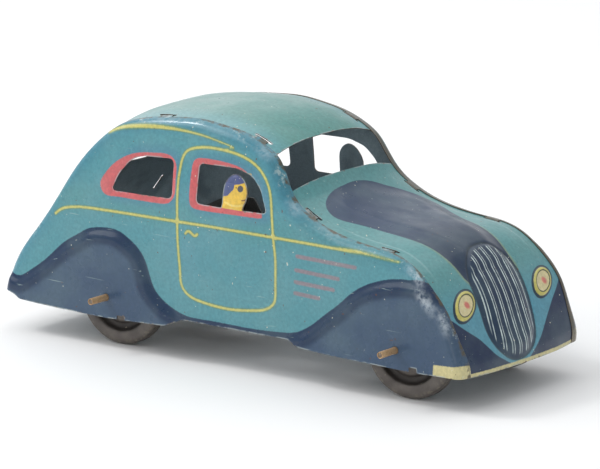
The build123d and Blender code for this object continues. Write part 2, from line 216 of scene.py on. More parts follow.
# ---- curves and outlines ------------------------------------------------------------
def spline(points, count):
    """Points along a natural cubic spline through the given ones, by chord length."""
    points = np.array(points, float)
    knots = np.r_[0, np.cumsum(np.linalg.norm(np.diff(points, axis=0), axis=1))]
    size = len(knots)
    gaps = np.diff(knots)
    system = np.eye(size)
    right = np.zeros((size, points.shape[1]))
    for i in range(1, size - 1):
        system[i, i - 1:i + 2] = gaps[i - 1], 2 * (gaps[i - 1] + gaps[i]), gaps[i]
        right[i] = 6 * ((points[i + 1] - points[i]) / gaps[i]
                        - (points[i] - points[i - 1]) / gaps[i - 1])
    bends = np.linalg.solve(system, right)
    wanted = np.linspace(0, knots[-1], count)
    run = np.clip(np.searchsorted(knots, wanted, side="right") - 1, 0, size - 2)
    span = gaps[run][:, None]
    a = (knots[run + 1] - wanted)[:, None] / span
    b = 1 - a
    return (a * points[run] + b * points[run + 1]
            + ((a ** 3 - a) * bends[run] + (b ** 3 - b) * bends[run + 1]) * span ** 2 / 6)


def resample(line, spacing):
    """Points about spacing apart along a chain of straight runs."""
    line = np.array(line, float)
    length = np.r_[0, np.cumsum(np.linalg.norm(np.diff(line, axis=0), axis=1))]
    places = np.linspace(0, length[-1], max(2, int(round(length[-1] / spacing)) + 1))
    return np.stack([np.interp(places, length, line[:, k]) for k in range(line.shape[1])], -1)


def smooth_line(points, spacing=0.9):
    """A smooth open line through points."""
    return resample(spline(points, 40 * len(points)), spacing)


def smooth_loop(points, spacing=0.9):
    """A smooth closed outline through points, without its closing point."""
    wrap = 3
    ring = list(points[-wrap:]) + list(points) + list(points[:wrap + 1])
    curve = spline(ring, 60 * len(ring))
    first = np.argmin(np.hypot(*(curve[:len(curve) // 3] - np.array(points[0])).T))
    half = len(curve) // 2
    last = half + np.argmin(np.hypot(*(curve[half:] - np.array(points[0])).T))
    return resample(curve[first:last + 1], spacing)[:-1]


def rounded(corners, radius, spacing=0.7):
    """A closed outline with its corners rounded, without its closing point."""
    corners = np.array(corners, float)
    line = []
    for i, corner in enumerate(corners):
        before = corners[i - 1] - corner
        after = corners[(i + 1) % len(corners)] - corner
        cut_in = corner + before * min(0.45, radius / np.hypot(*before))
        cut_out = corner + after * min(0.45, radius / np.hypot(*after))
        for t in np.linspace(0, 1, 7):
            line.append((1 - t) ** 2 * cut_in + 2 * t * (1 - t) * corner + t ** 2 * cut_out)
    line.append(line[0])
    return resample(line, spacing)[:-1]


def distance(points, line):
    """Distance of each point from a chain of straight runs."""
    best = np.full(len(points), 1e9)
    line = np.array(line, float)
    for start, end in zip(line[:-1], line[1:]):
        run = end - start
        along = np.clip(((points - start) @ run) / max(run @ run, 1e-9), 0, 1)
        best = np.minimum(best, np.hypot(*(points - start - along[:, None] * run).T))
    return best


def signed(points, loop):
    """Distance of each point from a closed outline, negative inside it."""
    closed = np.vstack([loop, loop[:1]])
    within = np.zeros(len(points), bool)
    for start, end in zip(closed[:-1], closed[1:]):
        spans = (start[1] > points[:, 1]) != (end[1] > points[:, 1])
        rise = end[1] - start[1] if end[1] != start[1] else 1e-9
        cross = start[0] + (points[:, 1] - start[1]) * (end[0] - start[0]) / rise
        within ^= spans & (points[:, 0] < cross)
    away = distance(points, closed)
    return np.where(within, -away, away)


def two_sided(left, right):
    """A closed outline from its left half and its mirrored right half, both with y from 0 up."""
    return list(left) + [(s, -y) for s, y in reversed(right) if y > 0]


def mirrored(points):
    """A closed outline from its half with y from 0 up."""
    return two_sided(points, points)


def ease(value):
    """Smooth step from 0 to 1."""
    value = np.clip(value, 0, 1)
    return value * value * (3 - 2 * value)


SEAM_CURVE = spline(SEAM, 4000)
SEAM_LENGTH = np.r_[0, np.cumsum(np.linalg.norm(np.diff(SEAM_CURVE, axis=0), axis=1))]
SEAM_ALONG = np.gradient(SEAM_CURVE, axis=0)
SEAM_ALONG /= np.linalg.norm(SEAM_ALONG, axis=1)[:, None]
STRIP_CURVE = spline(STRIP, 1500)
SECTION_CURVE = spline(SECTION, 800)


def seam(s):
    """(x, z) of the seam at a length along it, and the outward normal there."""
    point = np.stack([np.interp(s, SEAM_LENGTH, SEAM_CURVE[:, k]) for k in (0, 1)], -1)
    along = np.stack([np.interp(s, SEAM_LENGTH, SEAM_ALONG[:, k]) for k in (0, 1)], -1)
    return point, np.stack([-along[..., 1], along[..., 0]], -1)


def half_width(s):
    return np.interp(s, STRIP_CURVE[:, 0], STRIP_CURVE[:, 1])


def rise(s):
    return np.interp(s, STRIP_CURVE[:, 0], STRIP_CURVE[:, 2])


def strip_place(s, y, lift):
    """The top strip's surface: it is crowned from seam to seam, and lift is along its normal."""
    point, normal = seam(s)
    out = rise(s) * (1 - abs(y / half_width(s)) ** 2.6) + lift
    return np.stack([point[:, 0] + normal[:, 0] * out, y, point[:, 1] + normal[:, 1] * out], -1)


def side_width(x, z):
    """|y| of the plain side face. It draws in slightly towards the nose and the tail."""
    draw_in = 0.2 * ease((x - 112) / 24) + 0.8 * ease((-x - 118) / 20)
    return np.interp(z, SECTION_CURVE[:, 0], SECTION_CURVE[:, 1]) - draw_in


def length_at(value, axis, after, before):
    """Length along the seam where its x or z has a value."""
    index = np.where((SEAM_LENGTH > after) & (SEAM_LENGTH < before))[0]
    return SEAM_LENGTH[index[np.argmin(abs(SEAM_CURVE[index, axis] - value))]]


TAIL_S = length_at(TAIL_LEVEL, 1, 0, 60)
NOSE_S = length_at(NOSE_LEVEL, 1, 370, SEAM_LENGTH[-1])
WINDOW_TOP_S = length_at(REAR_WINDOW[2], 1, 40, 140)
WINDOW_LOW_S = length_at(REAR_WINDOW[1], 1, 40, 140)


# ---- pressings ----------------------------------------------------------------------
def triangulate(outline, holes, creases, spacing, fine):
    """Triangles that fill an outline round its holes, with points along the creases.

    fine holds (box, spacing) of the regions that need smaller triangles. Points keep away from
    outlines and creases, whose own points are edges of the triangles.
    """
    low = outline.min(0)
    high = outline.max(0)
    points = []
    for box, pitch in [((low[0], high[0], low[1], high[1]), spacing), *fine]:
        for row, level in enumerate(np.arange(box[2], box[3], pitch * 0.866)):
            line = np.arange(box[0] + (pitch / 2 if row % 2 else 0), box[1], pitch)
            spots = np.column_stack([line, np.full(len(line), level), np.full(len(line), pitch)])
            if pitch == spacing:
                for (x0, x1, z0, z1), _ in fine:
                    above = spots[:, :2] > np.array([x0, z0]) - pitch / 2
                    below = spots[:, :2] < np.array([x1, z1]) + pitch / 2
                    spots = spots[~(above & below).all(1)]
            points.append(spots)
    points = np.vstack(points)
    keep = signed(points[:, :2], outline) < -0.45 * points[:, 2]
    for hole in holes:
        keep &= signed(points[:, :2], hole) > 0.45 * points[:, 2]
    for crease in creases:
        keep &= distance(points[:, :2], crease) > 0.4 * points[:, 2]
    loops = [outline, *holes]
    edges = []
    count = 0
    for number, chain in enumerate([*loops, *creases]):
        size = len(chain)
        runs = size if number < len(loops) else size - 1
        edges += [(count + k, count + (k + 1) % size) for k in range(runs)]
        count += size
    flat = np.vstack([*loops, *creases, points[keep, :2]])
    found = delaunay_2d_cdt([Vector(p) for p in flat], edges, [], 0, 1e-5)
    verts = np.array([tuple(v) for v in found[0]])
    faces = np.array(found[2])
    middles = verts[faces].mean(1)
    inside = signed(middles, outline) < 0
    for hole in holes:
        inside &= signed(middles, hole) > 0
    return verts, faces[inside]


def weld(points, faces):
    """Joins points that coincide, and drops faces that this closes up."""
    _, first, back = np.unique(np.round(points, 4), axis=0, return_index=True, return_inverse=True)
    faces = back.reshape(-1)[faces]
    whole = (faces[:, 0] != faces[:, 1]) & (faces[:, 1] != faces[:, 2]) & (faces[:, 0] != faces[:, 2])
    return first, faces[whole]


def point_normals(points, faces):
    """Unit normals at the points, from the triangles that meet there."""
    corners = points[faces]
    cross = np.cross(corners[:, 1] - corners[:, 0], corners[:, 2] - corners[:, 0])
    normals = np.zeros_like(points)
    for k in range(3):
        np.add.at(normals, faces[:, k], cross)
    return normals / np.maximum(np.linalg.norm(normals, axis=1), 1e-12)[:, None]


def make_object(name, points, faces, materials, face_material=None, sharp=(), attributes=None):
    """A smooth-shaded mesh object from points in mm. sharp holds its sharp edges."""
    mesh = bpy.data.meshes.new(name)
    mesh.from_pydata((np.asarray(points) * MM).tolist(), [], [list(map(int, f)) for f in faces])
    mesh.update()
    mesh.polygons.foreach_set("use_smooth", [True] * len(mesh.polygons))
    for material in materials:
        mesh.materials.append(material)
    if face_material is not None:
        mesh.polygons.foreach_set("material_index", np.asarray(face_material, np.int32))
    if sharp:
        marks = [tuple(sorted(edge.vertices)) in sharp for edge in mesh.edges]
        mesh.edges.foreach_set("use_edge_sharp", marks)
    for key, values in (attributes or {}).items():
        attribute = mesh.attributes.new(key, "FLOAT", "POINT")
        attribute.data.foreach_set("value", np.asarray(values, np.float32))
    thing = bpy.data.objects.new(name, mesh)
    bpy.context.scene.collection.objects.link(thing)
    return thing


def sheet_metal(name, outer, faces, attributes, outside):
    """A pressing of tinplate whose outer skin is given. Its inner skin is TIN further in."""
    first, faces = weld(outer, faces)
    used = outer[first]
    attributes = {key: np.asarray(values)[first] for key, values in attributes.items()}
    normals = point_normals(used, faces)
    count = len(used)
    points = np.vstack([used, used - normals * TIN])
    directed = np.vstack([faces[:, [0, 1]], faces[:, [1, 2]], faces[:, [2, 0]]])
    pairs = np.sort(directed, axis=1)
    _, index, repeats = np.unique(pairs, axis=0, return_index=True, return_counts=True)
    rim = directed[index[repeats == 1]]
    quads = [(b, a, a + count, b + count) for a, b in rim]
    all_faces = [tuple(f) for f in faces] + [tuple(f[::-1] + count) for f in faces] + quads
    kind = [0] * len(faces) + [1] * len(faces) + [2] * len(quads)
    sharp = {tuple(sorted(map(int, pair))) for pair in rim}
    sharp |= {(a + count, b + count) for a, b in sharp}
    both_skins = {key: np.concatenate([values, values]) for key, values in attributes.items()}
    return make_object(name, points, all_faces, (outside, INSIDE_TIN, EDGE_TIN), kind, sharp, both_skins)


def waves(points, pitch, seed):
    """Smooth uneven waves over flat coordinates, mostly from -1 to 1, like slight dents."""
    random = np.random.default_rng(seed)
    total = np.zeros(len(points))
    for _ in range(7):
        angle = random.uniform(0, math.pi)
        size = pitch * random.uniform(0.7, 1.6)
        shift = random.uniform(0, 2 * math.pi)
        total += np.sin((points @ [math.cos(angle), math.sin(angle)]) * 2 * math.pi / size + shift)
    return total / 3.2


def side_prints(flat):
    """Distances from everything printed on a side panel."""
    frames = [smooth_loop(REAR_FRAME, 1.5), rounded(FRONT_FRAME, 2.0, 1.5)]
    windows = [rear_side_window(), front_side_window()]
    lines = [distance(flat, line) + LINE_THINNING * ease((flat[:, 0] - fade_from) / fade_over)
             for line, (fade_from, fade_over) in zip(coach_lines(), LINE_FADES)]
    return {
        "fender": signed(flat, fender_outline()), "lines": np.min(lines, axis=0),
        "frames": np.min([signed(flat, frame_line) for frame_line in frames], axis=0),
        "louvres": np.min([distance(flat, line) for line in LOUVRES], axis=0),
        "window": np.min([signed(flat, window) for window in windows], axis=0),
        "cream": signed(flat, np.array(CREAM_MARK, float)),
        "head": signed(flat, np.array(HEAD_BOX)), "cap": signed(flat, np.array(CAP, float)),
        "eye": np.hypot(flat[:, 0] - EYE[0], (flat[:, 1] - EYE[1]) * 1.1),
        "mouth": distance(flat, MOUTH), "collar": distance(flat, smooth_line(COLLAR)),
    }


def fender_outline():
    """Both fenders and the sill between them, as one outline closed below the car."""
    top = smooth_line(REAR_FENDER + FRONT_FENDER, 1.2)
    return np.vstack([top, np.array(FENDER_CLOSE, float)])


def coach_lines():
    """The yellow lines: belt, door, roof and door handle."""
    return [smooth_line(BELT_LINE), np.vstack([smooth_loop(DOOR_LINE), DOOR_LINE[:1]]),
            smooth_line(ROOF_LINE), smooth_line(HANDLE_LINE, 0.5)]


def rear_side_window():
    """The opening of the rear side window."""
    return rounded(REAR_WINDOW_SIDE, 3.2)


def axle_hole(x):
    """The hole in a side panel that an axle's tube turns in."""
    turn = np.linspace(0, 2 * math.pi, 20, endpoint=False)
    return np.stack([x + AXLE_HOLE * np.cos(turn), AXLE_LEVEL + AXLE_HOLE * np.sin(turn)], -1)


def front_side_window():
    """The front window's opening round the driver's head, which stands up from its lower edge."""
    soft = rounded(FRONT_WINDOW_SIDE, 2.6, 0.7)
    cut = np.argmin(np.hypot(*(soft - np.array(FRONT_WINDOW_SIDE[-1])).T))
    soft = np.roll(soft, -cut - 1, axis=0)
    on_sill = (soft[:, 0] > -3.2) & (soft[:, 0] < 10.4) & (soft[:, 1] < 79)
    soft = soft[~on_sill]
    start = np.argmin(np.hypot(*(soft - np.array([10.8, 77.6])).T))
    soft = np.roll(soft, -start, axis=0)
    return np.vstack([soft, NECK, smooth_line(DRIVER_HEAD, 0.6), THROAT])


def emboss(shape, inside):
    """Height of an embossing of (height, width) at a distance inside its edge."""
    height, width = shape
    return height * ease(inside / width)


def side_relief(flat, prints):
    """How far the embossing stands out of the plain side face."""
    sill = ease((flat[:, 0] + 40) / 14) * ease((48 - flat[:, 0]) / 14)
    fender = emboss(FENDER_EMBOSS, -prints["fender"]) * (1 - SILL_SHARE * sill)
    lip = emboss(WINDOW_EMBOSS, WINDOW_EMBOSS[1] - prints["window"])
    line = emboss(LINE_EMBOSS, LINE_EMBOSS[1] - prints["lines"])
    dents = BROAD_DENTS * waves(flat, 46, 3) + SMALL_DENTS * waves(flat, 13, 8)
    return fender - lip + line + dents


def painted_highlight(s, inward):
    """How strong the painted highlight is at a length along the seam and a distance in from it."""
    total = np.zeros(len(s))
    for x, (after, before), reach, middle, width, strength in PAINTED_HIGHLIGHTS:
        along = ease(1 - abs(s - length_at(x, 0, after, before)) / reach)
        total = np.maximum(total, strength * along * ease(1 - abs(inward - middle) / width))
    return total


def rolled_edge(s):
    """The rolled edge of a side: its points, where they lie in side view, and its triangles.

    Row by row, they go over the quarter turn, over the lap on the strip, and out along the tabs.
    """
    point, normal = seam(s)
    start = point - normal * ROLL
    start_y = side_width(start[:, 0], start[:, 1]) + side_relief(start, side_prints(start))
    edge_y = half_width(s)
    rows = []
    flats = []
    for turn in np.linspace(0, math.pi / 2, TURN_ROWS):
        place = point - normal * ROLL * (1 - math.sin(turn))
        y = edge_y + (start_y - edge_y) * math.cos(turn)
        rows.append(np.stack([place[:, 0], y, place[:, 1]], -1))
        flats.append(point - normal * ROLL * (1 - turn / (math.pi / 2)))
    for reach in (LAP / 2, LAP, LAP * 2, LAP * 3, TAB_REACH):
        dip = TAB_DIP if reach == TAB_REACH else 0.0
        rows.append(strip_place(s, edge_y - reach, 0 * s - dip))
        flats.append(point + normal * reach)
    tab = np.min([abs(s - place) for place in TAB_LENGTHS], axis=0) < TAB_HALF
    columns = len(s)
    faces = []
    for row in range(len(rows) - 1):
        for k in range(columns - 1):
            if row <= TURN_ROWS or (tab[k] and tab[k + 1]):
                a = row * columns + k
                faces += [(a, a + 1, a + 1 + columns), (a, a + 1 + columns, a + columns)]
    return np.vstack(rows), np.vstack(flats), np.array(faces)


def side_panel(name, side):
    """One side of the car: the pressed face, and the rolled edge with its tabs."""
    s = resample([(TAIL_S, 0), (NOSE_S, 0)], 1.0)[:, 0]
    point, normal = seam(s)
    roll_start = point - normal * ROLL
    sill_line = [roll_start[-1], *reversed(SILL), roll_start[0]]
    outline = np.vstack([roll_start, resample(sill_line, 1.0)[1:-1]])
    holes = [rear_side_window(), front_side_window()] + [axle_hole(x) for x in AXLE_X.values()]
    fine = [((-5, 15, 74, 96), 0.6)]
    fine += [((x - 4, x + 4, AXLE_LEVEL - 4, AXLE_LEVEL + 4), 0.8) for x in AXLE_X.values()]
    louvres = [resample(line, 0.9) for line in LOUVRES]
    verts, faces = triangulate(outline, holes, coach_lines() + louvres, SIDE_PITCH, fine)
    prints = side_prints(verts)
    y = side_width(verts[:, 0], verts[:, 1]) + side_relief(verts, prints)
    ring, ring_flat, ring_faces = rolled_edge(s)
    points = np.vstack([np.stack([verts[:, 0], y, verts[:, 1]], -1), ring])
    all_faces = np.vstack([orient(verts, faces), ring_faces[:, ::-1] + len(verts)])

    # What the print needs to know, on the face and then on the rolled edge.
    ring_prints = side_prints(ring_flat)
    attributes = {key: np.concatenate([prints[key], ring_prints[key]]) for key in prints}
    depth = np.repeat(np.arange(len(ring) / len(s)), len(s))
    roll = 0.4 * np.clip(1 - distance(verts, outline) / 6.0, 0, 1)
    attributes["roll"] = np.concatenate([roll, np.clip(0.4 + depth / 12, 0, 1)])
    rim = np.minimum(distance(verts, sill_line), prints["window"])
    attributes["rim"] = np.concatenate([rim, np.clip(13.0 - depth * 1.3, 0, 20)])
    # Painted shade: the left side, away from the camera, gets a wider dark band along its rolled edge.
    attributes["far_roll_shade"] = np.full(len(points), 1.0 if side > 0 else 0.0)
    gaps = np.linalg.norm(verts[:, None] - roll_start[None], axis=2)
    last_turn = TURN_ROWS - 1
    # Painted highlights: pale patches on the rolled edges and on the face next to them.
    ring_highlight = painted_highlight(np.resize(s, len(ring)), ROLL * (1 - np.minimum(depth, last_turn) / last_turn))
    attributes["highlight_paint"] = np.concatenate([painted_highlight(s[gaps.argmin(1)], ROLL + gaps.min(1)), ring_highlight])
    attributes["print_z"] = np.concatenate([verts[:, 1], ring_flat[:, 1]])
    if side < 0:
        points = points * [1, -1, 1]
        all_faces = all_faces[:, ::-1]
    return sheet_metal(name, points, all_faces, attributes, SIDE_TIN)


def orient(verts, faces):
    """Turns flat triangles so that their front is towards +Y when x and z are their axes."""
    corners = verts[faces]
    first = corners[:, 1] - corners[:, 0]
    second = corners[:, 2] - corners[:, 0]
    area = first[:, 0] * second[:, 1] - first[:, 1] * second[:, 0]
    faces = faces.copy()
    faces[area > 0] = faces[area > 0][:, ::-1]
    return faces


def strip_prints(flat):
    """Distances from everything printed on the top strip."""
    askew_curve = spline(ASKEW, 200)
    askew = flat - np.stack([0 * flat[:, 0], np.interp(flat[:, 0], *askew_curve.T)], -1)
    hood = signed(flat, smooth_loop(two_sided(HOOD_LEFT, HOOD), 1.2))
    grille = signed(askew, smooth_loop(mirrored(GRILLE), 1.0))
    surround = signed(flat, rounded(SURROUND, 3.0, 1.2))
    apron = np.where(flat[:, 0] > 345, surround, -9.0)
    ahead = flat[:, 0] - LAMP[0]
    aside = np.where(flat[:, 1] > 0, flat[:, 1] - LAMP[1], flat[:, 1] + LAMP[1])
    shares = np.linalg.solve(np.array([LAMP_LONG, LAMP_SHORT]).T, np.stack([ahead, aside]))
    off_pupil = abs(flat[:, 1] - PUPIL_SHIFT) - LAMP[1]
    return {
        "hood": hood, "grille": grille, "apron": apron, "lamp": LAMP_RADIUS * np.hypot(*shares),
        "pupil": np.hypot(ahead, off_pupil), "bars": askew[:, 1],
        "bumper": BUMPER_FROM - flat[:, 0],
    }


def strip_relief(flat, prints):
    """How far the embossing stands out of the crowned strip."""
    hood = emboss(HOOD_EMBOSS, -prints["hood"]) * (0.35 + 0.65 * ease((flat[:, 0] - 268) / 50))
    fade = ease((372 - flat[:, 0]) / 24)
    grille = emboss(GRILLE_EMBOSS, -prints["grille"])
    dome = fade * np.maximum(hood, grille) + (1 - fade) * grille
    groove = emboss(GROOVE_EMBOSS, GROOVE_EMBOSS[1] - abs(prints["grille"]))
    lamp = emboss(LAMP_EMBOSS, LAMP_RADIUS + 0.9 - prints["lamp"])
    lamp -= emboss(BULB_EMBOSS, LAMP_RADIUS - 2.0 - prints["lamp"])
    cell = abs(np.mod(prints["bars"] / BAR_PITCH + 0.5, 1) - 0.5)
    ribs = emboss(RIB_EMBOSS, -prints["grille"]) * ease(1 - cell / 0.3)
    bumper = emboss(BUMPER_EMBOSS, -prints["bumper"])
    dents = BROAD_DENTS * waves(flat, 50, 21) + SMALL_DENTS * waves(flat, 15, 5)
    return dome - groove + lamp + ribs + bumper + dents


def strip_end(s, bow):
    """Points across the strip at a length along the seam, bowed by so much at the seams."""
    reach = half_width(s + bow) + TUCK
    y = resample([(-reach, 0), (reach, 0)], 1.2)[:, 0]
    return np.stack([s + bow * abs(y / reach) ** 3, y], -1)


def strip_panel(name, s_from, s_to, holes, fine):
    """The roof or bonnet: a crowned strip that runs under the rolled edges of the sides.

    s_from and s_to are each a length along the seam and how far the end bows at the seams.
    """
    start = strip_end(*s_from)
    finish = strip_end(*s_to)
    s = resample([(start[0, 0], 0), (finish[0, 0], 0)], 1.2)[1:-1, 0]
    reach = half_width(s) + TUCK
    right, left = np.stack([s, -reach], -1), np.stack([s, reach], -1)
    outline = np.vstack([start[::-1], right, finish, left[::-1]])
    verts, faces = triangulate(outline, holes, [], STRIP_PITCH, fine)
    prints = strip_prints(verts)
    points = strip_place(verts[:, 0], verts[:, 1], strip_relief(verts, prints) - STEP_DOWN)
    ends = np.minimum(distance(verts, start), distance(verts, finish))
    for hole in holes:
        ends = np.minimum(ends, abs(signed(verts, hole)))
    prints["rim"] = ends
    prints["seam"] = half_width(verts[:, 0]) - abs(verts[:, 1])
    prints["print_x"] = verts[:, 0]
    return sheet_metal(name, points, orient(verts, faces)[:, ::-1], prints, STRIP_TIN)


def tab_slots(s_from, s_to):
    """The slots in the strip that the side panels' tabs go down into."""
    slots = []
    for place in TAB_LENGTHS:
        if s_from < place < s_to:
            for side in (-1, 1):
                middle = side * (half_width(place) - TAB_REACH - 0.1)
                low, high = middle - 0.65, middle + 0.65
                start, end = place - TAB_HALF - 1, place + TAB_HALF + 1
                slots.append(rounded([(start, low), (end, low), (end, high), (start, high)], 0.4, 0.8))
    return slots


# ---- turned and rolled parts --------------------------------------------------------
def lathe(name, profile, x, material, segments=96):
    """A solid of revolution about the axle at x, from closed (radius, y) points."""
    profile = np.array(profile, float)
    count = len(profile)
    points = []
    faces = []
    for k in range(segments):
        angle = 2 * math.pi * k / segments
        points += [(x + radius * math.cos(angle), y, WHEEL_RADIUS + radius * math.sin(angle))
                   for radius, y in profile]
        here = k * count
        there = (k + 1) % segments * count
        faces += [(here + i, here + (i + 1) % count, there + (i + 1) % count, there + i)
                  for i in range(count)]
    after = np.roll(profile, -1, axis=0)
    if np.sum(profile[:, 0] * after[:, 1] - after[:, 0] * profile[:, 1]) > 0:
        faces = [face[::-1] for face in faces]
    thing = make_object(name, points, faces, (material,))
    thing.data.set_sharp_from_angle(angle=math.radians(SHARP_ANGLE))
    return thing


def skin_profile(outer, thickness, count):
    """A closed lathe profile: a smooth skin through points, and the same thickness further in."""
    line = spline(outer, count)
    along = np.gradient(line, axis=0)
    along /= np.linalg.norm(along, axis=1)[:, None]
    normal = np.stack([along[:, 1], -along[:, 0]], -1)
    return np.vstack([line, (line - normal * thickness)[::-1]])


# ---- materials ----------------------------------------------------------------------
def srgb(red, green, blue):
    """Linear colour of an 8-bit sRGB colour."""
    shares = [value / 255 for value in (red, green, blue)]
    return (*[v / 12.92 if v <= 0.04045 else ((v + 0.055) / 1.055) ** 2.4 for v in shares], 1)


TEAL = srgb(84, 146, 156)
TEAL_GREEN = srgb(80, 142, 136)
TEAL_BLUE = srgb(66, 130, 148)
TEAL_FADED = srgb(112, 158, 172)
WINDOW_SHADE = srgb(74, 122, 150)
ROOF_TEAL = srgb(92, 154, 160)
ROOF_SHEEN = srgb(200, 216, 214)
COWL_TEAL = srgb(88, 148, 150)
NOSE_TEAL = srgb(86, 148, 168)
RIDGE_HIGHLIGHT = srgb(150, 188, 190)
NAVY = srgb(4, 27, 68)
NAVY_FACE_SHEEN = srgb(56, 74, 102)
HOOD_NAVY = srgb(20, 42, 82)
HOOD_FADED = srgb(36, 54, 90)
HOOD_BORDER = srgb(150, 152, 100)
GRILLE_NAVY = srgb(12, 38, 70)
GRILLE_BORDER = srgb(24, 34, 54)
RED = srgb(210, 92, 92)
LOUVRE_PINK = srgb(164, 112, 118)
LINE_YELLOW = srgb(204, 196, 108)
LINE_EDGE = srgb(108, 140, 96)
CREAM = srgb(214, 202, 146)
LAMP_BORDER = srgb(12, 32, 54)
LAMP_YELLOW = srgb(206, 196, 104)
LAMP_LINE = srgb(36, 40, 44)
LAMP_CREAM = srgb(222, 208, 158)
PUPIL_RED = srgb(212, 92, 92)
PALE = srgb(214, 228, 226)
SKIN = srgb(232, 190, 70)
COLLAR_YELLOW = srgb(240, 214, 120)
CAP_BLUE = srgb(66, 78, 132)
EYE_GREY = srgb(58, 62, 84)
MOUTH_BROWN = srgb(120, 60, 40)
FACE_BORDER = srgb(60, 60, 70)
RUST = srgb(92, 58, 40)
BARE = srgb(126, 122, 112)
# Worn tin at the rolled edges, also used as painted shade on the left side.
OLIVE_WEAR_AND_SHADE = srgb(62, 70, 58)
BROWN_WEAR_AND_SHADE = srgb(98, 78, 58)
MOTTLE = srgb(150, 176, 170)
GRIME = srgb(34, 60, 66)
SCRATCH = srgb(176, 196, 190)
SPECK = srgb(206, 206, 190)
BRIGHT_TIN = srgb(158, 168, 168)
# Pale colours of the painted highlights on the rolled edges.
ROLL_HIGHLIGHT = srgb(190, 204, 200)
SPOT_HIGHLIGHT = srgb(206, 216, 222)
WHEEL_GREY = srgb(90, 84, 80)
WHEEL_DUST = srgb(122, 115, 108)
WHEEL_RING = srgb(48, 43, 40)
WHEEL_WORN = srgb(134, 126, 114)
WHEEL_SPECK = srgb(150, 140, 124)


class Graph:
    """Short names for building a material's nodes. Sizes and distances are in mm."""

    def __init__(self, name):
        self.material = bpy.data.materials.new(name)
        self.material.use_nodes = True
        self.tree = self.material.node_tree
        self.tree.nodes.clear()
        self.shader = self.node("ShaderNodeBsdfPrincipled")
        output = self.node("ShaderNodeOutputMaterial")
        self.link(self.shader.outputs[0], output.inputs["Surface"])
        coordinates = self.node("ShaderNodeTexCoord")
        scaled = self.node("ShaderNodeVectorMath", operation="SCALE")
        scaled.inputs["Scale"].default_value = 1 / MM
        self.link(coordinates.outputs["Object"], scaled.inputs[0])
        self.mm = scaled.outputs[0]

    def node(self, kind, **settings):
        made = self.tree.nodes.new(kind)
        for key, value in settings.items():
            setattr(made, key, value)
        return made

    def link(self, source, socket):
        self.tree.links.new(source, socket)

    def put(self, value, socket):
        """Links a value that is a socket, and sets one that is a number or a colour."""
        if isinstance(value, bpy.types.NodeSocket):
            self.link(value, socket)
        else:
            socket.default_value = value

    def fix(self, **values):
        """Sets plain numbers on the shader."""
        for key, value in values.items():
            self.shader.inputs[key.replace("_", " ")].default_value = value

    def math(self, operation, first, second=0.0):
        made = self.node("ShaderNodeMath", operation=operation)
        self.put(first, made.inputs[0])
        self.put(second, made.inputs[1])
        return made.outputs[0]

    def add(self, first, second):
        return self.math("ADD", first, second)

    def times(self, first, second):
        return self.math("MULTIPLY", first, second)

    def off(self, value, middle):
        """How far a value is from a middle, either way."""
        return self.math("ABSOLUTE", self.math("SUBTRACT", value, middle))

    def mix(self, share, first, second):
        made = self.node("ShaderNodeMix", data_type="RGBA")
        self.put(share, made.inputs["Factor"])
        self.put(first, made.inputs["A"])
        self.put(second, made.inputs["B"])
        return made.outputs["Result"]

    def layered(self, colour, layers):
        """Lays colours over a first one, each given as (share, colour)."""
        for share, ink in layers:
            colour = self.mix(share, colour, ink)
        return colour

    def remap(self, value, low, high, to_low=0.0, to_high=1.0):
        made = self.node("ShaderNodeMapRange", interpolation_type="SMOOTHSTEP")
        self.put(value, made.inputs["Value"])
        ends = {"From Min": low, "From Max": high, "To Min": to_low, "To Max": to_high}
        for key, end in ends.items():
            made.inputs[key].default_value = end
        return made.outputs["Result"]

    def band(self, value, rise, fall, height=1.0):
        """Goes up to a height over the (start, end) of rise, and down again over that of fall."""
        return self.times(self.remap(value, *rise, 0.0, height), self.remap(value, *fall, 1.0, 0.0))

    def noise(self, size, detail=3.0, stretch=(1, 1, 1), roughness=0.55, shift=0.0):
        """Noise whose patches are about size mm across."""
        mapping = self.node("ShaderNodeMapping")
        self.link(self.mm, mapping.inputs["Vector"])
        mapping.inputs["Scale"].default_value = [k / size for k in stretch]
        mapping.inputs["Location"].default_value = (shift, shift * 0.7, shift * 1.3)
        made = self.node("ShaderNodeTexNoise")
        self.link(mapping.outputs[0], made.inputs["Vector"])
        for key, value in {"Scale": 1.0, "Detail": detail, "Roughness": roughness}.items():
            made.inputs[key].default_value = value
        return made.outputs["Fac"]

    def patches(self, size, detail, low, high, to_low=0.0, to_high=1.0, **how):
        """Noise with its values from low to high spread smoothly over another range."""
        return self.remap(self.noise(size, detail, **how), low, high, to_low, to_high)

    def wander(self, size, detail, amount, **how):
        """Noise about zero. Added to a distance, it lets an edge wander."""
        return self.times(self.math("SUBTRACT", self.noise(size, detail, **how), 0.5), amount)

    def attribute(self, name):
        return self.node("ShaderNodeAttribute", attribute_name=name).outputs["Fac"]

    def bump(self, height, strength, depth):
        made = self.node("ShaderNodeBump")
        made.inputs["Strength"].default_value = strength
        made.inputs["Distance"].default_value = depth * MM
        self.link(height, made.inputs["Height"])
        self.link(made.outputs[0], self.shader.inputs["Normal"])

    def surface(self, colour, roughness):
        self.link(colour, self.shader.inputs["Base Color"])
        self.link(roughness, self.shader.inputs["Roughness"])


def printed(graph, colour, layers):
    """Lays prints over a colour. A layer is (print, limit, softness, colour, strength)."""
    ragged = graph.wander(0.9, 2.0, 0.5)
    for key, limit, softness, ink, strength in layers:
        gap = graph.add(graph.attribute(key), ragged)
        share = graph.remap(gap, limit - softness, limit + softness, strength, 0.0)
        colour = graph.mix(share, colour, ink)
    return colour


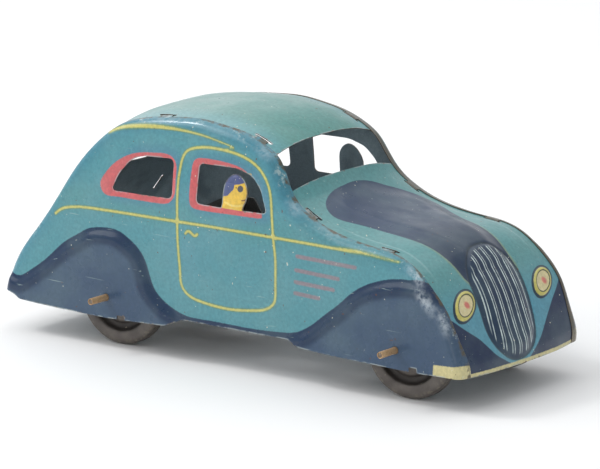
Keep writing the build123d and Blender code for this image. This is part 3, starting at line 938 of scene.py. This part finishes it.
def aged_tin_and_painted_light(graph, colour, roll, roughness):
    """Ageing of a print: mottling, grime, scratches, specks and chipped rims, with pale painted highlights
    on the rolled edges and painted shade on the left side's rolled edge.
    """
    rim = graph.attribute("rim")
    fine = graph.noise(1.6, 4.0, shift=9.0)
    chips = graph.noise(3.2, 5.0, roughness=0.7, shift=21.0)
    chips = graph.add(chips, graph.remap(rim, 0.0, 1.6, 0.22, 0.0))
    chips = graph.times(graph.remap(chips, 0.76, 0.81), graph.remap(rim, 1.6, 3.0, 1.0, 0.0))
    bright_rim = graph.patches(7.0, 4.0, 0.42, 0.56, shift=90.0)
    bright_rim = graph.times(graph.remap(rim, 0.25, 0.7, 0.7, 0.0), bright_rim)
    # Painted highlight: pale patches along the turn of each rolled edge.
    roll_highlight = graph.patches(5.5, 5.0, 0.56, 0.68, roughness=0.7)
    roll_highlight = graph.times(graph.remap(roll, 0.45, 0.9), roll_highlight)
    # Painted highlight: pale patches at the places listed for the rolled edges.
    spot_highlight = graph.patches(2.6, 5.0, 0.32, 0.62, roughness=0.66, shift=80.0)
    spot_highlight = graph.times(graph.attribute("highlight_paint"), spot_highlight)
    # Worn olive-brown tin along the tip of each rolled edge, widened on the left side as painted shade.
    bared_and_shaded = graph.add(graph.add(roll, graph.wander(4.0, 4.0, 0.45, shift=60.0)),
                      graph.times(graph.attribute("far_roll_shade"), 0.2))
    colour = graph.layered(colour, [
        (graph.patches(26, 4.0, 0.35, 0.75, 0.0, 0.13, shift=3.0), MOTTLE),
        (graph.remap(fine, 0.30, 0.75, 0.22, 0.0), GRIME),
        (graph.patches(1.1, 2.0, 0.70, 0.76, 0.0, 0.35, stretch=(0.05, 1, 1), shift=5.0), SCRATCH),
        (graph.patches(1.7, 1.0, 0.755, 0.79, 0.0, 0.8, shift=14.0), SPECK),
        (graph.patches(2.1, 1.0, 0.765, 0.80, 0.0, 0.75, shift=31.0), RUST),
        (chips, graph.mix(graph.noise(1.2, 3.0), RUST, BARE)),
        (bright_rim, BRIGHT_TIN),
        (graph.times(roll_highlight, 0.55), ROLL_HIGHLIGHT),
        (graph.times(spot_highlight, 0.68), SPOT_HIGHLIGHT),
        (graph.remap(bared_and_shaded, 0.95, 1.05, 0.0, 0.92),
         graph.mix(graph.noise(3.0, 3.0, shift=70.0), OLIVE_WEAR_AND_SHADE, BROWN_WEAR_AND_SHADE)),
    ])
    gloss = graph.patches(11, 5.0, 0.3, 0.75, roughness - 0.07, roughness + 0.13, shift=17.0)
    graph.surface(colour, graph.add(gloss, graph.times(chips, 0.25)))
    graph.fix(Coat_Weight=0.3, Coat_Roughness=0.09, Specular_IOR_Level=0.26)
    relief = graph.add(graph.times(fine, 0.25), graph.times(graph.noise(7.0, 3.0), 0.75))
    graph.bump(graph.math("SUBTRACT", relief, graph.times(chips, 0.6)), 0.55, 0.07)
    return graph.material


def side_tin():
    """The print on a side panel and the face on the driver's head, with painted sheen, highlights and
    shade.
    """
    graph = Graph("printed_side_tin_and_painted_light")
    roll = graph.attribute("roll")
    window = graph.attribute("window")
    fender = graph.attribute("fender")
    uneven = graph.wander(20, 3.0, 3.0)
    from_belt = graph.add(graph.off(graph.attribute("print_z"), 70.0), uneven)
    sprayed = graph.add(window, graph.times(uneven, 0.3))
    colour = graph.layered(TEAL, [
        (graph.remap(roll, 0.05, 0.75), TEAL_BLUE),
        (graph.remap(from_belt, 2.0, 11.0, 0.28, 0.0), TEAL_GREEN),
        (graph.remap(sprayed, 1.0, 8.0, 0.62, 0.0), WINDOW_SHADE),
        (graph.patches(34, 2.0, 0.5, 0.8, 0.0, 0.35, shift=40.0), TEAL_FADED),
    ])
    body = printed(graph, colour, [
        ("frames", 0.0, 0.25, RED, 0.93),
        ("louvres", 0.95, 0.4, LOUVRE_PINK, 0.6),
        ("lines", 1.05, 0.3, LINE_EDGE, 0.75),
        ("lines", 0.55, 0.25, LINE_YELLOW, 0.95),
    ])
    # Painted light on the fender: its face is a lighter navy as painted sheen, and the band along its
    # shoulder a dark navy as painted shade.
    fender_shade_and_sheen = graph.mix(graph.remap(graph.add(fender, uneven), -9.8, -6.6, 1.0, 0.0), NAVY, NAVY_FACE_SHEEN)
    body = printed(graph, body, [
        ("fender", 0.0, 0.3, fender_shade_and_sheen, 0.96),
        ("cream", 0.0, 0.25, CREAM, 0.95),
    ])
    face = printed(graph, SKIN, [
        ("collar", 0.5, 0.2, COLLAR_YELLOW, 0.8),
        ("cap", 0.0, 0.2, CAP_BLUE, 0.97),
        ("eye", 1.7, 0.25, EYE_GREY, 0.95),
        ("mouth", 0.35, 0.2, MOUTH_BROWN, 0.9),
        ("window", 0.55, 0.25, FACE_BORDER, 0.85),
    ])
    body = graph.mix(graph.remap(graph.attribute("head"), -0.1, 0.1, 1.0, 0.0), body, face)
    return aged_tin_and_painted_light(graph, body, roll, 0.30)


def strip_tin():
    """The print on the roof and the bonnet, with the grille's bars and the lamps, and painted reflection,
    highlights and shade.
    """
    graph = Graph("printed_strip_tin_and_painted_light")
    hood = graph.attribute("hood")
    grille = graph.attribute("grille")
    seam_gap = graph.attribute("seam")
    length = graph.attribute("print_x")
    hood_border = graph.times(graph.remap(hood, 0.0, 2.0, 1.0, 0.0), graph.remap(length, 312, 345))
    # Painted highlight: a pale line along the bonnet's crease, 6.5 mm in from each seam.
    ridge_highlight = graph.remap(graph.off(seam_gap, 6.5), 0.2, 1.0, 0.4, 0.0)
    ridge_highlight = graph.times(ridge_highlight, graph.band(length, (280, 300), (336, 352)))
    colour = graph.layered(ROOF_TEAL, [
        (graph.remap(graph.add(seam_gap, graph.wander(24, 3.0, 4.0)), 1.0, 16.0), TEAL_GREEN),
        (graph.remap(length, 240, 262), COWL_TEAL),
        (graph.remap(length, 345, 375), NOSE_TEAL),
        # Painted reflection: a pale haze along the roof.
        (graph.band(length, (50, 100), (170, 235), 0.3), ROOF_SHEEN),
        (graph.times(hood_border, 0.6), HOOD_BORDER),
        (ridge_highlight, RIDGE_HIGHLIGHT),
    ])

    # Each bar is a pair of pale lines on navy, so a cell of the pattern is a bar's pitch wide.
    bars = graph.math("DIVIDE", graph.attribute("bars"), BAR_PITCH)
    cell = graph.math("FRACT", graph.add(bars, 20.5))
    stripe = graph.remap(graph.off(graph.off(cell, 0.5), 0.15), 0.034, 0.072, 1.0, 0.0)
    stripe = graph.times(stripe, graph.remap(grille, -2.4, -1.2, 1.0, 0.0))
    stripe = graph.times(stripe, graph.patches(5.0, 4.0, 0.3, 0.6, 0.5, 1.0, shift=50.0))
    hood_ink_and_shade = graph.layered(HOOD_NAVY, [
        (graph.patches(30, 3.0, 0.4, 0.7, 0.0, 0.5, shift=8.0), HOOD_FADED),
        # Painted shade: the navy goes darker towards the front of the bonnet.
        (graph.remap(length, 300, 330, 0.0, 0.9), NAVY),
    ])
    colour = printed(graph, colour, [
        ("hood", 0.0, 0.3, hood_ink_and_shade, 0.96),
        ("grille", 0.8, 0.3, GRILLE_BORDER, 0.9),
        ("grille", 0.0, 0.3, graph.mix(stripe, GRILLE_NAVY, PALE), 0.97),
    ])
    colour = graph.mix(graph.remap(graph.attribute("apron"), -0.25, 0.25), colour, NAVY)
    colour = printed(graph, colour, [
        ("bumper", 0.0, 0.2, CREAM, 0.95),
        ("lamp", LAMP_RADIUS + 1.5, 0.25, LAMP_BORDER, 0.95),
        ("lamp", LAMP_RADIUS, 0.25, LAMP_YELLOW, 0.95),
        ("lamp", LAMP_RADIUS - 1.7, 0.2, LAMP_LINE, 0.9),
        ("lamp", LAMP_RADIUS - 2.4, 0.2, LAMP_CREAM, 0.97),
        ("pupil", 1.7, 0.7, PUPIL_RED, 0.85),
    ])
    return aged_tin_and_painted_light(graph, colour, graph.remap(grille, -1.5, 0.0, 0.3, 0.0), 0.34)


def metal(name, colour, stain, roughness, metallic, size=6.0, stain_share=0.6, bump=0.05):
    """Metal with stains, fine brushing and uneven gloss."""
    graph = Graph(name)
    patches = graph.noise(size, 5.0, roughness=0.65)
    grain = graph.noise(0.7, 3.0, shift=6.0)
    brushed = graph.mix(graph.remap(grain, 0.3, 0.7, 0.0, 0.35), colour, stain)
    graph.surface(graph.mix(graph.remap(patches, 0.42, 0.72, 0.0, stain_share), brushed, stain),
                  graph.remap(patches, 0.3, 0.7, roughness - 0.08, roughness + 0.16))
    graph.fix(Metallic=metallic)
    graph.bump(graph.add(grain, patches), 0.5, bump)
    return graph.material


def wheel_tin():
    """Grey-brown lacquered tin with a dark ring over the groove of each wheel."""
    graph = Graph("lacquered_wheel_tin")
    radius = graph.add(graph.attribute("radius"), graph.wander(4, 3.0, 1.2))
    tread = graph.times(graph.remap(radius, 21.5, 24.0), graph.patches(2.2, 5.0, 0.5, 0.66, shift=4.0))
    colour = graph.layered(WHEEL_GREY, [
        (graph.patches(9, 5.0, 0.35, 0.7, 0.0, 0.6, shift=2.0), WHEEL_DUST),
        (graph.band(radius, (13.2, 14.4), (17.6, 19.2), 0.85), WHEEL_RING),
        (graph.times(tread, 0.6), WHEEL_WORN),
        (graph.patches(1.4, 1.0, 0.74, 0.78, shift=12.0), WHEEL_SPECK),
    ])
    graph.surface(colour, graph.patches(6, 4.0, 0.3, 0.7, 0.38, 0.58, shift=7.0))
    graph.fix(Metallic=0.35)
    graph.bump(graph.add(graph.noise(0.8, 3.0), graph.noise(5.0, 2.0)), 0.4, 0.06)
    return graph.material


SIDE_TIN = side_tin()
STRIP_TIN = strip_tin()
WHEEL_TIN = wheel_tin()
# Colour, colour of the stains, roughness, share of metal and size of the stains.
INSIDE_TIN = metal("inside_tin", srgb(160, 178, 186), srgb(104, 120, 128), 0.5, 0.2, 16.0)
EDGE_TIN = metal("cut_edge_tin", srgb(104, 92, 74), srgb(58, 44, 34), 0.5, 0.6, 2.5)
BRASS = metal("tarnished_brass_tube", srgb(208, 174, 132), srgb(140, 102, 70), 0.42, 0.45, 3.0)
WIRE = metal("rusty_steel_wire", srgb(140, 130, 118), srgb(92, 62, 46), 0.45, 0.85, 2.5)
STRAP = metal("bare_tinplate", srgb(150, 150, 146), srgb(96, 88, 78), 0.36, 0.9, 8.0, 0.4)
GEAR = metal("oiled_brass", srgb(186, 156, 84), srgb(112, 84, 44), 0.32, 1.0, 5.0, 0.5)
PINION = metal("oiled_steel", srgb(128, 128, 130), srgb(70, 66, 62), 0.33, 1.0, 3.0, 0.5)
PLATE = metal("stamped_steel", srgb(134, 134, 132), srgb(92, 84, 74), 0.42, 0.9, 9.0, 0.5)
IRON = metal("cast_flywheel", srgb(66, 66, 68), srgb(86, 58, 42), 0.55, 0.8, 4.0, 0.5, 0.12)

# ---- body ---------------------------------------------------------------------------
for side, side_name in ((-1, "right"), (1, "left")):
    panel = side_panel(f"printed_side_{side_name}", side)
    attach(panel, "body")
    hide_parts(f"side_panel_{side_name}")

half = REAR_WINDOW[0]
rear_opening = [(WINDOW_LOW_S, -half), (WINDOW_TOP_S, -half), (WINDOW_TOP_S, half), (WINDOW_LOW_S, half)]
roof = strip_panel("printed_roof", (TAIL_S, 0), (CABIN_EDGE_S, 2.4),
                   [rounded(rear_opening, 4.5, 1.0)] + tab_slots(TAIL_S, CABIN_EDGE_S), [])
bonnet = strip_panel("printed_bonnet", (COWL_EDGE_S, 2.8), (NOSE_S, 0),
                     tab_slots(COWL_EDGE_S, NOSE_S), [((336, NOSE_S - 1, -42, 42), 0.8)])
for piece, node in ((roof, "roof_panel"), (bonnet, "bonnet_panel")):
    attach(piece, "body")
    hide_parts(node)

# ---- wheels and axles ---------------------------------------------------------------
WHEEL_RADIUS = 25.0
AXLE_RADIUS = 1.1
OUTER_SKIN = [
    (24.55, 35.5), (24.9, 36.2), (24.95, 37.3), (24.5, 38.7), (23.3, 39.7), (21.6, 39.95), (19.8, 39.9),
    (18.3, 39.3), (17.4, 38.1), (16.2, 37.5), (14.8, 37.6), (13.8, 38.5), (12.6, 39.3),
    (9, 39.6), (4, 39.75), (2.4, 39.9), (AXLE_RADIUS, 39.9),
]
INNER_SKIN = [
    (24.55, 35.5), (24.9, 34.8), (24.95, 33.7), (24.5, 32.3), (23.3, 31.3), (21.6, 31.05), (18, 31.05),
    (13, 31.1), (11, 31.6), (9.6, 32.2), (6, 32.3), (AXLE_RADIUS, 32.3),
]


def with_radius(thing, x):
    """Keeps each point's distance from its axle on the mesh, for the rings in the wheel's colour."""
    places = np.array([v.co for v in thing.data.vertices]) / MM
    attribute = thing.data.attributes.new("radius", "FLOAT", "POINT")
    values = np.hypot(places[:, 0] - x, places[:, 2] - WHEEL_RADIUS)
    attribute.data.foreach_set("value", values.astype(np.float32))


for end, x in AXLE_X.items():
    rider = f"{end}_axle_set"
    rod = [(0.001, -60.55), (0.7, -60.5), (AXLE_RADIUS, -60.2)]
    rod += [(radius, -y) for radius, y in reversed(rod)]
    axle = lathe(f"{end}_axle_rod", rod, x, WIRE, 32)
    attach(axle, rider)
    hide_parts(f"{end}_axle")
    for side, side_name in ((-1, "right"), (1, "left")):
        for half_name, skin, turn in (("outer", OUTER_SKIN, -1), ("inner", INNER_SKIN, 1)):
            profile = skin_profile(skin, -TIN * turn, 60)
            piece = lathe(f"{end}_{side_name}_wheel_{half_name}_half", profile * [1, side], x, WHEEL_TIN)
            with_radius(piece, x)
            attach(piece, rider)
            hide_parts(f"{end}_wheel_{side_name}_{half_name}")
        tube = [(AXLE_RADIUS + 0.02, 39.9), (AXLE_RADIUS + 0.02, 60.2), (1.25, 60.5), (1.45, 60.6),
                (1.6, 60.35), (1.58, 52), (1.6, 47.4), (1.83, 47.3), (1.83, 39.9)]
        tube = np.array(tube) * [1, side]
        sleeve = lathe(f"{end}_{side_name}_axle_tube", tube, x, BRASS, 32)
        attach(sleeve, rider)
        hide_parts(f"{end}_sleeve_{side_name}")

# ---- carried-over CAD nodes ---------------------------------------------------------
CARRIED = {
    "front_cross_strap": STRAP, "rear_cross_strap": STRAP, "drive_gear": GEAR, "step_up_gear": GEAR,
    "step_up_pinion": PINION, "flywheel_pinion": PINION, "flywheel": IRON, "step_up_arbor": WIRE,
    "flywheel_arbor": WIRE, "plate_pillars": WIRE, "drive_plate_right": PLATE,
    "drive_plate_left": PLATE,
}
for node, material in CARRIED.items():
    NODES[node].data.materials.clear()
    NODES[node].data.materials.append(material)

# ---- floor, light and camera --------------------------------------------------------
bpy.ops.mesh.primitive_plane_add(size=40)
floor = bpy.context.object
floor.name = "studio_floor"
floor_graph = Graph("pale_floor")
floor_colour = floor_graph.mix(floor_graph.noise(400, 2.0), srgb(238, 238, 238), srgb(242, 242, 242))
floor_graph.link(floor_colour, floor_graph.shader.inputs["Base Color"])
floor_graph.fix(Roughness=0.7)
floor.data.materials.append(floor_graph.material)

# The camera: direction in radians, distance in metres, lens in mm, and shifts in picture widths.
AZIMUTH = 0.645419
ELEVATION = 0.221778
RANGE = 2.20208
LENS = 281.118
SHIFT = (-0.0696667, -0.0165)
AIM = Vector((32.9, 0, 65.8)) * MM
towards = Vector((-math.sin(AZIMUTH) * math.cos(ELEVATION), math.cos(AZIMUTH) * math.cos(ELEVATION),
                  -math.sin(ELEVATION)))
camera_data = bpy.data.cameras.new("camera")
camera = bpy.data.objects.new("camera", camera_data)
bpy.context.scene.collection.objects.link(camera)
camera.location = AIM - towards * RANGE
camera.rotation_euler = towards.to_track_quat("-Z", "Y").to_euler()
camera_data.sensor_width = 36
camera_data.lens = LENS
camera_data.shift_x, camera_data.shift_y = SHIFT
camera_data.clip_end = 100
bpy.context.scene.camera = camera


def area_light(name, place, aim, size, power):
    """A rectangular lamp in metres and watts."""
    data = bpy.data.lights.new(name, "AREA")
    data.shape = "RECTANGLE"
    data.size, data.size_y = size
    data.energy = power
    light = bpy.data.objects.new(name, data)
    light.location = place
    light.rotation_euler = (Vector(aim) - Vector(place)).to_track_quat("-Z", "Y").to_euler()
    bpy.context.scene.collection.objects.link(light)


area_light("key", (-1.4, -0.9, 1.6), (0, 0, 0.05), (1.9, 1.9), 26)
area_light("glint", (-1.15, -0.5, 1.45), (0, 0, 0.08), (0.26, 0.26), 7.0)
area_light("top", (-0.2, 0.6, 1.8), (0, 0, 0.05), (1.8, 1.8), 9)
area_light("fill", (1.2, -1.8, 0.8), (0, 0, 0.05), (1.0, 1.0), 4)
area_light("backdrop", (-1.25, 1.7, 1.0), (0, 0, 0.15), (2.8, 1.4), 2.6)
world = bpy.data.worlds.new("studio")
world.use_nodes = True
world.node_tree.nodes["Background"].inputs["Color"].default_value = (0.96, 0.98, 1.0, 1)
world.node_tree.nodes["Background"].inputs["Strength"].default_value = 0.64
bpy.context.scene.world = world
bpy.context.scene.view_settings.view_transform = "Standard"
